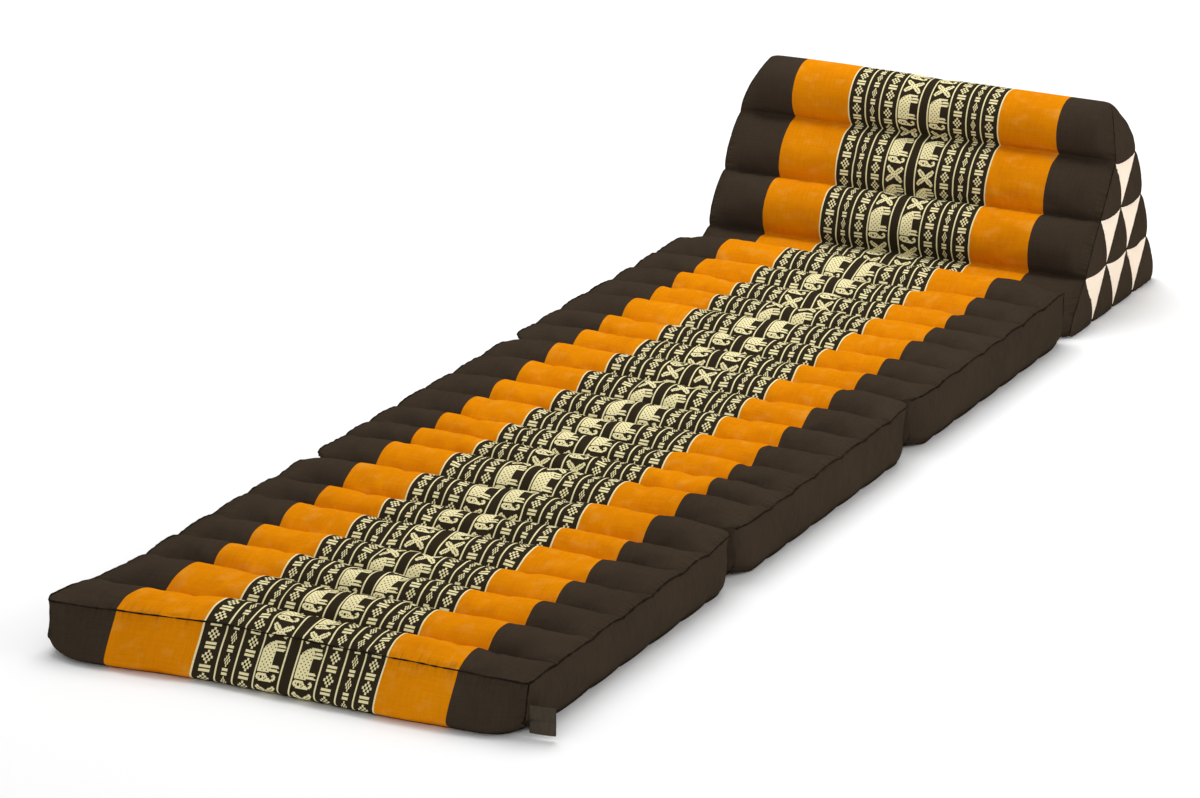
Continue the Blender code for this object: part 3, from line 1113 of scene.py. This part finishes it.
    def build(self, place: Place, covers: Covers) -> bpy.types.Object:
        """Builds the panel's cover and dresses it.

        Args:
            place: where the maker's place lies in the frame.
            covers: the cloths.

        Returns:
            The piece.
        """
        bm = divided_cube((self.columns, self.rows_each * len(self.channels), self.levels))
        weave = bm.loops.layers.uv.new(WEAVE_MAP)
        flat = {vert: self.flat(vert.co) for vert in bm.verts}
        for face in bm.faces:
            self.dress(face, weave, flat)
        freedom = []
        sharp_seams(bm, lambda vert: self.on_seam(*flat[vert]))
        for vert in bm.verts:
            x, y, level = flat[vert]
            vert.co = self.place(x, y, level)
            freedom.append(self.freedom(x, y, level))
        place.settle(bm)
        bmesh.ops.recalc_face_normals(bm, faces=bm.faces[:])
        piece = piece_of(f"{self.name}_cover", bm, covers.all())
        Filling().swell(piece, freedom)
        rounded(piece)
        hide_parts(self.name)
        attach(piece, "root")
        SeamTubes(f"{self.name}_seams", "mat_cover", self.seam_radius).build(self.seams(), place, covers)
        return piece

    def flat(self, share: Vector) -> tuple[float, float, float]:
        """Where a point of the unit cube lies on the plain box, with more rows and columns at the seams."""
        across = 2 * share.x - 1
        x = HALF_WIDTH * math.copysign(1 - (1 - abs(across)) ** self.crowding, across)
        step = share.y * len(self.channels)
        number = min(int(step + NEAR), len(self.channels) - 1)
        part = step - number
        part -= self.bunching * math.sin(math.tau * part) / math.tau
        y = self.lines[number] + part * (self.lines[number + 1] - self.lines[number])
        return x, y, share.z

    def freedom(self, x: float, y: float, level: float) -> float:
        """0 on the seams, the stitch lines and the floor, and up to 1 where the cover is free to swell."""
        side = HALF_WIDTH - abs(x)
        near_end = min(y - self.start, self.end - y)
        on_wall = side < NEAR or near_end < NEAR
        if level < NEAR or (on_wall and level > 1 - NEAR):
            return 0.0
        if side < NEAR and near_end < NEAR:
            return 0.0
        if near_end < NEAR and not (self.first and y < NEAR):
            return 0.0
        if on_wall:
            return 0.42
        _, share = self.channel(y)
        if min(share, 1 - share) < 1e-3 and side > 0.030:
            return 0.0
        return 0.35 + 0.45 * smooth(side / 0.07)

    def on_seam(self, x: float, y: float, level: float) -> bool:
        """Whether a point of the plain box lies on a seam or a stitch line."""
        at_side = HALF_WIDTH - abs(x) < NEAR
        at_end = min(y - self.start, self.end - y) < NEAR
        on_rim = level > 1 - NEAR or level < NEAR
        if at_side or at_end:
            return on_rim or (at_side and at_end)
        return level > 1 - NEAR and self.freedom(x, y, level) == 0.0

    def seams(self) -> list[list[Vector]]:
        """The paths of the seams: along the top and bottom edges and up the free corners."""
        steps = 150
        paths = []
        spans = [self.start + (self.end - self.start) * step / steps for step in range(steps + 1)]
        across = [HALF_WIDTH * (2 * step / steps - 1) for step in range(steps + 1)]
        for x in (-HALF_WIDTH, HALF_WIDTH):
            for level in (1.0, 0.0):
                paths.append([self.place(x, y, level) for y in spans])
        for y, free in ((self.start, self.first), (self.end, self.last)):
            if not free:
                continue
            for level in (1.0, 0.0):
                paths.append([self.place(x, y, level) for x in across])
            for x in (-HALF_WIDTH, HALF_WIDTH):
                paths.append([self.place(x, y, step / 16) for step in range(17)])
        return paths

    def dress(self, face: bmesh.types.BMFace, weave: bmesh.types.BMLayerItem, flat: dict) -> None:
        """Sets which cloth a face has and where it lies on the cloth.

        Args:
            face: a face of the unit cube.
            weave: the map to fill.
            flat: where each vertex lies on the plain box.
        """
        normal = face.normal
        centre = face.calc_center_median()
        number = min(int(centre.y * len(self.channels)), len(self.channels) - 1)
        at, running = self.cloth[number]
        low, high = self.lines[number], self.lines[number + 1]
        foot = self.first and normal.y < -0.5
        face.material_index = (Region.STRIPED if normal.z > 0.5 or foot else Region.BROWN).value
        for loop in face.loops:
            x, y, level = flat[loop.vert]
            if normal.z > 0.5:
                share = min(max((y - low) / (high - low), 0.0), 1.0)
                loop[weave].uv = (x, at + reading(running, share))
            elif abs(normal.z) > 0.5:
                loop[weave].uv = (x, y)
            elif foot:
                loop[weave].uv = (x, self.cloth_start - FOOT_SEAM_CLOTH - reading(self.face_cloth, 1 - level))
            elif abs(normal.y) > 0.5:
                loop[weave].uv = (x, (1 - level) * SEAM_HEIGHT_FOOT)
            else:
                loop[weave].uv = (y, level * SEAM_HEIGHT_FOOT)


@dataclass(frozen=True)
class Tube:
    """How far a tier's tube swells past the lattice, in front and behind."""

    front: float
    back: float


@dataclass
class WedgeCushion:
    """The triangular bolster: tubes in four tiers, with patchwork ends."""

    front_line: float = 1.436
    base: float = 0.284
    lean: float = 0.180
    height: float = 0.258
    crown_height: float = 0.264
    tiers: int = 4
    cuts_each: int = 12
    stations: int = 72
    pressed_front: float = MAT_LENGTH + 0.012 + TOUCH_GAP
    tubes: tuple[Tube, ...] = (
        Tube(0.0, 0.0), Tube(0.0155, 0.0120), Tube(0.0205, 0.0140), Tube(0.0400, 0.0160),
    )
    rim_share: float = 0.30
    rim_length: float = 0.030
    pinch: float = 0.003
    edge_rise: float = 0.0020
    pillow_rise: float = 0.0045
    cream_rise: float = 0.0015
    bow: float = 0.0036
    sink: float = 0.30
    top_lean: float = 0.095
    tilt: float = 0.0085
    elephants: tuple[float, ...] = (0.50, 0.40, 0.67, 0.38)
    bunching: float = 0.50
    crowding: float = 1.25
    tucked: float = 0.010
    crown_flat: float = 0.0055
    tube_wander: float = 0.0016
    stitch_press: float = 0.0045
    seam_radius: float = 0.00055

    def __post_init__(self) -> None:
        """Works out the corners and the round top tube."""
        self.front = Vector((0, self.front_line, 0))
        self.back = Vector((0, self.front_line + self.base, 0))
        self.apex = Vector((0, self.front_line + self.lean, self.height))
        low = self.lattice(self.tiers - 1, 1, 0)
        high = self.lattice(self.tiers - 1, 0, 1)
        half = (high - low).length / 2
        rise = self.crown_height - low.z
        self.crown_radius = (half * half + rise * rise) / (2 * rise)
        self.crown_centre = Vector((0, (low.y + high.y) / 2, self.crown_height - self.crown_radius))
        self.crown_turn = math.acos((low.z - self.crown_centre.z) / self.crown_radius)

    def lattice(self, up: float, front: float, back: float) -> Vector:
        """A point of the end's triangle, from its shares of the apex, front and back: four in all."""
        return (self.apex * up + self.front * front + self.back * back) / self.tiers

    def shares(self, point: Vector) -> tuple[float, float, float]:
        """The shares of the apex, front and back at a point of the triangle."""
        up = self.tiers * point.z / self.height
        across = point.y - self.front_line - self.lean * up / self.tiers
        back = self.tiers * across / self.base
        values = (up, self.tiers - up - back, back)
        return tuple(0.0 if abs(value) < 1e-5 else value for value in values)

    def outline(self, up: float, front: float, back: float) -> Vector:
        """Where a point of the triangle's edge lies on the swollen outline."""
        point = self.lattice(up, front, back)
        if up > self.tiers - 1 - NEAR and min(front, back) < NEAR:
            turn = self.crown_turn * (back - front)
            radius = self.crown_radius - self.crown_flat * abs(back - front) ** 7
            return self.crown_centre + radius * Vector((0, math.sin(turn), math.cos(turn)))
        tier = min(int(self.tiers - up - NEAR), self.tiers - 1)
        rise = dome(up % 1.0, 0.56) * (1 + self.sink) - self.sink * (up > 0.5)
        if front < NEAR:
            slope = (self.apex - self.back).normalized()
            return point + self.tubes[tier].back * rise * Vector((0, slope.z, -slope.y))
        if back < NEAR:
            slope = (self.apex - self.front).normalized()
            forward = Vector((0, -1, 0)) if tier == self.tiers - 1 else Vector((0, -slope.z, slope.y))
            return point + self.tubes[tier].front * rise * forward
        return point

    def patch(self, up: float, front: float, back: float) -> tuple[list[float], bool]:
        """The place inside a patch, as three shares that add to 1, and whether the patch points down."""
        parts = [share % 1.0 for share in (up, front, back)]
        parts = [0.0 if part > 1 - 1e-5 else part for part in parts]
        down = sum(parts) > 1.5
        return ([1 - part for part in parts] if down else parts), down

    def gathered(self, point: Vector) -> Vector:
        """Draws a point of the plain prism towards the seams of its patch, where the cover bends most."""
        shares = self.shares(point)
        parts, down = self.patch(*shares)
        drawn = [part - self.bunching * math.sin(math.tau * part) / math.tau for part in parts]
        total = sum(drawn)
        if total < 0.5:
            return point
        moved = []
        for share, part, new in zip(shares, parts, drawn):
            whole = round(share - (1 - part if down else part))
            moved.append(whole + (1 - new / total if down else new / total))
        flat = self.lattice(*moved)
        return Vector((point.x, flat.y, flat.z))

    def relief(self, up: float, front: float, back: float) -> tuple[float, Vector]:
        """How far a point of the end stands out, and how far the seams bow sideways there."""
        (a, b, c), down = self.patch(up, front, back)
        edge = min(4 * (a * b + b * c + c * a), 1.0) ** 0.8
        pillow = self.cream_rise if down else self.pillow_rise
        out = self.edge_rise * edge + pillow * (27 * a * b * c) ** 0.6 - self.pinch
        centre = (self.apex + self.front + self.back) / 3
        side = Vector((0, 0, 0))
        turns = ((a, b, c, self.apex, up), (b, c, a, self.front, front), (c, a, b, self.back, back))
        for part, other, third, corner, whole in turns:
            if not down and whole < 1:
                continue
            away = (centre - corner).normalized()
            side += away * self.bow * 4 * other * third * (1 - part) ** 2
        return out, side

    def place(self, x: float, point: Vector) -> Vector:
        """Moves a point of the plain prism to the cushion."""
        shares = self.shares(point)
        up, front, back = shares
        flat = self.lattice(up, front, back)
        nearest = min(shares)
        hand = 1 if x > 0 else -1
        at_end = HALF_WIDTH - abs(x) < NEAR
        reach = self.rim_share + (1 - self.rim_share) * smooth((HALF_WIDTH - abs(x)) / self.rim_length)
        top = min(max(up - self.tiers + 1, 0.0), 1.0)
        x *= 1 - self.top_lean * top**1.3 * (abs(x) / HALF_WIDTH) ** 8
        swollen = flat.copy()
        if nearest < 1.0:
            at = shares.index(nearest)
            edge = [share * self.tiers / (self.tiers - nearest) for share in shares]
            edge[at] = 0.0
            shift = self.outline(*edge) - self.lattice(*edge)
            swollen += shift * reach * (1 - nearest) ** 2
        if at_end:
            out, side = self.relief(up, front, back)
            x += hand * out * (1 - 0.5 * top)
            swollen += side
        elif up > NEAR:
            swollen.y += self.tube_wander * unevenness(x, up * 3.1 + back, 0.10, 6.0)
        swollen.z -= self.tilt * (smooth((x / HALF_WIDTH + 1) / 2) - 0.25) * (up / self.tiers) ** 3
        if up < NEAR:
            swollen.z = self.stitch_press if abs(back - round(back)) < 0.02 else 0.0
        return Vector((x, max(swollen.y, self.pressed_front), max(swollen.z, 0.0)))

    def prism(self) -> bmesh.types.BMesh:
        """The plain prism, its ends cut into small triangles and its sides into stations.

        It isn't extruded, because that would number its points differently each run, and the simulation
        would settle a little differently each time.
        """
        bm = bmesh.new()
        corners = (self.front, self.back, self.apex)
        left, right = (
            [bm.verts.new(corner + Vector((x, 0, 0))) for corner in corners]
            for x in (-HALF_WIDTH, HALF_WIDTH)
        )
        bm.faces.new(left)
        bm.faces.new(right)
        for turn in range(3):
            bm.faces.new((left[turn], left[turn - 1], right[turn - 1], right[turn]))
        end_edges = [edge for edge in bm.edges if edge.calc_length() < WIDTH * 0.9]
        cuts = self.tiers * self.cuts_each - 1
        bmesh.ops.subdivide_edges(bm, edges=end_edges, cuts=cuts, use_grid_fill=True)
        long_edges = [edge for edge in bm.edges if edge.calc_length() > WIDTH * 0.9]
        bmesh.ops.subdivide_edges(bm, edges=long_edges, cuts=self.stations - 1, use_grid_fill=True)
        return bm

    def build(self, place: Place, covers: Covers) -> bpy.types.Object:
        """Builds the wedge's cover and dresses it.

        Args:
            place: where the maker's place lies in the frame.
            covers: the cloths.

        Returns:
            The piece.
        """
        bm = self.prism()
        bmesh.ops.recalc_face_normals(bm, faces=bm.faces[:])
        weave = bm.loops.layers.uv.new(WEAVE_MAP)
        run = self.cloth_run()
        for vert in bm.verts:
            share = vert.co.x / HALF_WIDTH
            if abs(share) < 1 - NEAR:
                vert.co.x = HALF_WIDTH * math.copysign(1 - (1 - abs(share)) ** self.crowding, share)
            vert.co = self.gathered(vert.co)
        flat = {vert: vert.co.copy() for vert in bm.verts}
        for face in bm.faces:
            self.dress(face, weave, flat, run)
        freedom = [self.freedom(vert.co) for vert in bm.verts]
        stitched = {vert for vert, share in zip(bm.verts, freedom) if share == 0.0 and vert.co.z > NEAR}
        sharp_seams(bm, lambda vert: vert in stitched)
        for vert in bm.verts:
            vert.co = self.place(vert.co.x, vert.co)
        place.settle(bm)
        bmesh.ops.recalc_face_normals(bm, faces=bm.faces[:])
        piece = piece_of("wedge_cushion_cover", bm, covers.all())
        Filling(cap=0.003, surplus=0.03).swell(piece, freedom)
        rounded(piece)
        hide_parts("wedge_cushion")
        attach(piece, "root")
        SeamTubes("wedge_cushion_seams", "wedge_cover", self.seam_radius).build(self.seams(), place, covers)
        return piece

    def freedom(self, point: Vector) -> float:
        """0 on the seams, the stitch lines, the pressed front and the floor, and more where it is free."""
        up, front, back = self.shares(point)
        if up < NEAR or (back < NEAR and up < 1):
            return 0.0
        parts, _ = self.patch(up, front, back)
        if HALF_WIDTH - abs(point.x) < NEAR:
            return 0.0 if min(parts) < 1e-4 else 0.45
        if abs(up - round(up)) < 1e-4 and up < self.tiers - 0.5:
            return 0.0
        return 0.45 if up > self.tiers - 1 else 0.8

    def seams(self) -> list[list[Vector]]:
        """The paths of the seams between the patches at both ends, and round the base."""
        steps = 80
        paths = []
        for x in (-HALF_WIDTH, HALF_WIDTH):
            for whole in range(self.tiers):
                rest = self.tiers - whole
                for turn in range(3):
                    path = []
                    for step in range(steps + 1):
                        shares = [0.0, 0.0, 0.0]
                        shares[turn] = float(whole)
                        shares[(turn + 1) % 3] = rest * step / steps
                        shares[(turn + 2) % 3] = rest * (1 - step / steps)
                        flat = self.lattice(*shares)
                        path.append(self.place(x, Vector((x, flat.y, flat.z))))
                    paths.append(path)
        across = [HALF_WIDTH * (2 * step / steps - 1) for step in range(steps + 1)]
        paths.append([self.place(x, Vector((0, self.back.y, 0.0))) for x in across])
        return paths

    def cloth_run(self) -> dict[int, tuple[float, list[float]]]:
        """For each tier up the front and down the back, where its cloth starts and its running lengths."""
        run: dict[int, tuple[float, list[float]]] = {}
        band = FiguredBand()
        at = 0.0
        for number in range(2 * self.tiers):
            points = []
            for share in EVEN_SHARES:
                up = number + share if number < self.tiers else 2 * self.tiers - number - share
                rest = (self.tiers - up, 0.0) if number < self.tiers else (0.0, self.tiers - up)
                points.append(self.outline(up, *rest))
            running = running_lengths(points)
            if number < self.tiers:
                at = band.elephant_middle + 20 * band.elephant_repeat - self.elephants[number] * running[-1]
            run[number] = (at, running)
            at += running[-1] + (0.0 if number == self.tiers - 1 else self.tucked)
        return run

    def dress(self, face: bmesh.types.BMFace, weave: bmesh.types.BMLayerItem, flat: dict, run: dict) -> None:
        """Sets which cloth a face has and where it lies on the cloth.

        Args:
            face: a face of the plain prism.
            weave: the map to fill.
            flat: where each vertex lies on the prism.
            run: the running cloth lengths of each tier.
        """
        centre = sum((flat[vert] for vert in face.verts), Vector()) / len(face.verts)
        up, front, back = self.shares(centre)
        at_end = HALF_WIDTH - abs(centre.x) < NEAR
        if at_end or up < NEAR:
            cream = at_end and self.patch(up, front, back)[1]
            face.material_index = (Region.CREAM if cream else Region.BROWN).value
            for loop in face.loops:
                point = flat[loop.vert]
                loop[weave].uv = point.yz if at_end else point.xy
            return
        face.material_index = Region.STRIPED.value
        tier = min(int(up), self.tiers - 1)
        number = tier if back < NEAR else 2 * self.tiers - 1 - tier
        start, running = run[number]
        for loop in face.loops:
            point = flat[loop.vert]
            share = min(max(self.shares(point)[0] - tier, 0.0), 1.0)
            along = share if number < self.tiers else 1 - share
            loop[weave].uv = (point.x, start + reading(running, along))


@dataclass
class Studio:
    """The plain floor, the soft lights and the camera at the photograph's angle."""

    azimuth: float = 27.3
    elevation: float = 18.65
    stand: Vector = field(default_factory=lambda: Vector((2.183, -3.568, 1.717)))
    focal_pixels: float = 4477.0
    frame_pixels: float = 1200.0
    floor_half: float = 6.0
    floor_tone: float = 0.95
    surround: float = 0.56

    def build(self, place: Place) -> None:
        """Builds the floor, lights and camera.

        Args:
            place: where the maker's place lies in the frame.
        """
        self.floor()
        self.lights(place)
        self.camera(place)

    def floor(self) -> None:
        """A plain pale floor."""
        bm = bmesh.new()
        bmesh.ops.create_grid(bm, x_segments=1, y_segments=1, size=self.floor_half)
        sheet = NodeSheet("pale_floor")
        tone = sheet.noise(sheet.object_place(), 3.0)
        colour = sheet.mix(tone, [self.floor_tone * 0.99] * 3, [self.floor_tone] * 3)
        floor = piece_of("floor", bm, [sheet.finish(colour)])

    def lights(self, place: Place) -> None:
        """The pale surround, and four soft lights: above, in front, at the side and a narrow one aimed."""
        scene = bpy.context.scene
        world = bpy.data.worlds.new("surround")
        scene.world = world
        world.use_nodes = True
        background = world.node_tree.nodes["Background"]
        background.inputs["Color"].default_value = (1.0, 1.0, 1.0, 1.0)
        background.inputs["Strength"].default_value = self.surround
        middle = place.shift + Vector((0, 0.8, 0.1))
        wedge = middle + Vector((0, 0.75, 0.05))
        # Name, place from the middle, aim, size, power and spread
        for name, at, aim, size, power, spread in (
            ("overhead", Vector((-0.8, 1.2, 3.2)), middle, 2.6, 92.0, 180.0),
            ("front", Vector((1.2, -4.2, 2.0)), middle, 2.5, 7.0, 180.0),
            ("side", Vector((4.0, 0.6, 1.6)), middle, 2.2, 40.0, 180.0),
            ("wedge_fill", Vector((1.9, -3.0, 1.5)), wedge, 0.9, 1.1, 40.0),
        ):
            light = bpy.data.lights.new(name, "AREA")
            light.size = size
            light.energy = power
            light.spread = math.radians(spread)
            holder = bpy.data.objects.new(name, light)
            holder.location = middle + at
            holder.rotation_euler = (aim - holder.location).to_track_quat("-Z", "Y").to_euler()
            scene.collection.objects.link(holder)

    def camera(self, place: Place) -> None:
        """The camera, from its fitted place, angle and focal length."""
        scene = bpy.context.scene
        data = bpy.data.cameras.new("camera")
        data.sensor_width = 36.0
        data.lens = data.sensor_width * self.focal_pixels / self.frame_pixels
        data.clip_end = 50.0
        camera = bpy.data.objects.new("camera", data)
        camera.location = self.stand + place.shift
        turn, rise = math.radians(self.azimuth), math.radians(self.elevation)
        back = Vector((math.sin(turn) * math.cos(rise), -math.cos(turn) * math.cos(rise), math.sin(rise)))
        camera.rotation_euler = (-back).to_track_quat("-Z", "Y").to_euler()
        scene.collection.objects.link(camera)
        scene.camera = camera
        scene.view_settings.view_transform = "Standard"


PANEL_CHANNELS = {
    "mat_panel_foot": (
        Channel(0.121, 0.0085), Channel(0.161, 0.0105, 0.38), Channel(0.140, 0.0095, 0.33),
        Channel(0.142, 0.0080, 0.07), Channel(0.157, 0.0070, 0.68), Channel(0.127, 0.0070, 0.50),
        Channel(0.152, 0.0120, 0.42),
    ),
    "mat_panel_middle": (
        Channel(0.168, 0.0120, 0.30), Channel(0.116, 0.0095, 0.68), Channel(0.130, 0.0090, 0.50),
        Channel(0.147, 0.0075, 0.42), Channel(0.137, 0.0090, 0.33), Channel(0.149, 0.0115, 0.08),
        Channel(0.153, 0.0120, 0.70),
    ),
    "mat_panel_head": (
        Channel(0.144, 0.0080, 0.58), Channel(0.132, 0.0085, 0.50), Channel(0.160, 0.0085, 0.40),
        Channel(0.134, 0.0075, 0.08), Channel(0.132, 0.0070, 0.68), Channel(0.134, 0.0085, 0.45),
        Channel(0.164, 0.0130, 0.33),
    ),
}


def main() -> None:
    """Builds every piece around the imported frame."""
    logging.basicConfig(level=logging.INFO)
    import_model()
    place = Place.from_frame()
    covers = Covers.make()
    Studio().build(place)
    cloth_at = 0.0
    for index, (name, channels) in enumerate(PANEL_CHANNELS.items()):
        panel = MatPanel(name, index, channels, cloth_at)
        piece = panel.build(place, covers)
        cloth_at = panel.cloth_end
        LOG.info("%s: %d faces, cloth to %.3f", piece.name, len(piece.data.polygons), cloth_at)
    wedge = WedgeCushion().build(place, covers)
    LOG.info("%s: %d faces", wedge.name, len(wedge.data.polygons))
    for piece in (HingeStrip().build(covers), SideLabel().build(covers)):
        LOG.info("%s: %d faces", piece.name, len(piece.data.polygons))


if __name__ == "__main__":
    main()
